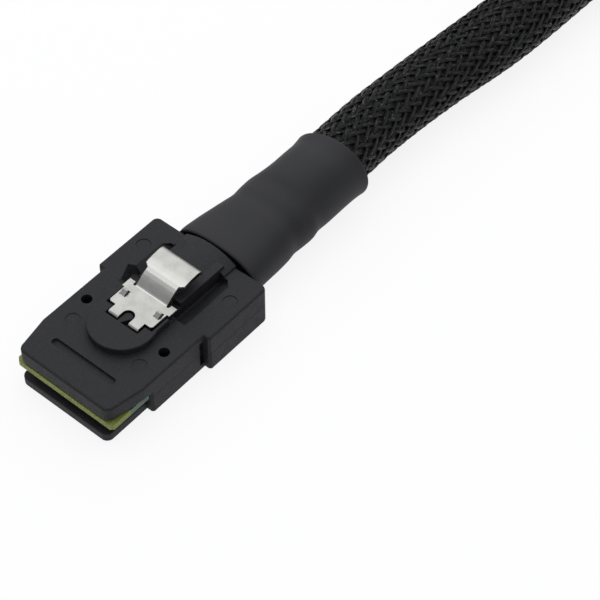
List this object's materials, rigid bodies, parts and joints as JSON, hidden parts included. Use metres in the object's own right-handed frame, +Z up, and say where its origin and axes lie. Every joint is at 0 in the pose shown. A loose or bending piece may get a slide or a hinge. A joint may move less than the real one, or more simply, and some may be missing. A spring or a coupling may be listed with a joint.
{
  "type": "internal breakout cable",
  "caption": "Internal storage breakout cable: a latched 36-position plug, a heat-shrink sleeve, a braided bundle in one coil, and legs to plain 7-position data plugs.",
  "frame": {"origin": "on the resting surface under the middle of the plug's moulded covers", "axes": "+Z up out of the latch side, -Y out of the plug's mating nose, +Y towards the cable"},
  "size_m": [0.1281, 0.2317, 0.0159],
  "materials": {
    "black_moulding": "fine grained, near black",
    "spring_steel": "bright stamped sheet",
    "circuit_card": "glass-epoxy laminate with a green coat",
    "hot_melt": "milky moulded block",
    "conductor_jacket": "smooth extruded",
    "shrink_rubber": "satin heat-shrink",
    "braid": "glossy monofilament braid",
    "leg_jacket": "smooth extruded, satin",
    "contact_metal": "gold-plated contacts on a dark wafer",
    "nylon": "moulded nylon"
  },
  "bodies": {
    "cable": {"top_cover": "black_moulding", "bottom_cover": "black_moulding", "paddle_card": "circuit_card", "pair_top_1": "conductor_jacket", "pair_bottom_1": "conductor_jacket", "pair_top_2": "conductor_jacket", "pair_bottom_2": "conductor_jacket", "pair_top_3": "conductor_jacket", "pair_bottom_3": "conductor_jacket", "pair_top_4": "conductor_jacket", "pair_bottom_4": "conductor_jacket", "potting_block": "hot_melt", "cable_core": "leg_jacket", "shrink_sleeve": "shrink_rubber", "braided_bundle": "braid", "bundle_coil": "braid", "breakout_shrink": "shrink_rubber", "leg_1": "leg_jacket", "leg_boot_1": "black_moulding", "plug_housing_1": "black_moulding", "plug_insert_1": "contact_metal", "leg_2": "leg_jacket", "leg_boot_2": "black_moulding", "plug_housing_2": "black_moulding", "plug_insert_2": "contact_metal", "leg_3": "leg_jacket", "leg_boot_3": "black_moulding", "plug_housing_3": "black_moulding", "plug_insert_3": "contact_metal", "leg_4": "leg_jacket", "leg_boot_4": "black_moulding", "plug_housing_4": "black_moulding", "plug_insert_4": "contact_metal", "coil_tie": "nylon"},
    "latch": {"latch_spring": "spring_steel"}
  },
  "joints": [
    {"name": "latch_press", "type": "hinge", "parent": "cable", "child": "latch", "pos_m": [0, -0.003, 0.0085], "axis": [-1, 0, 0], "range_deg": [0, 6], "stiffness_Nm_per_rad": 1}
  ]
}
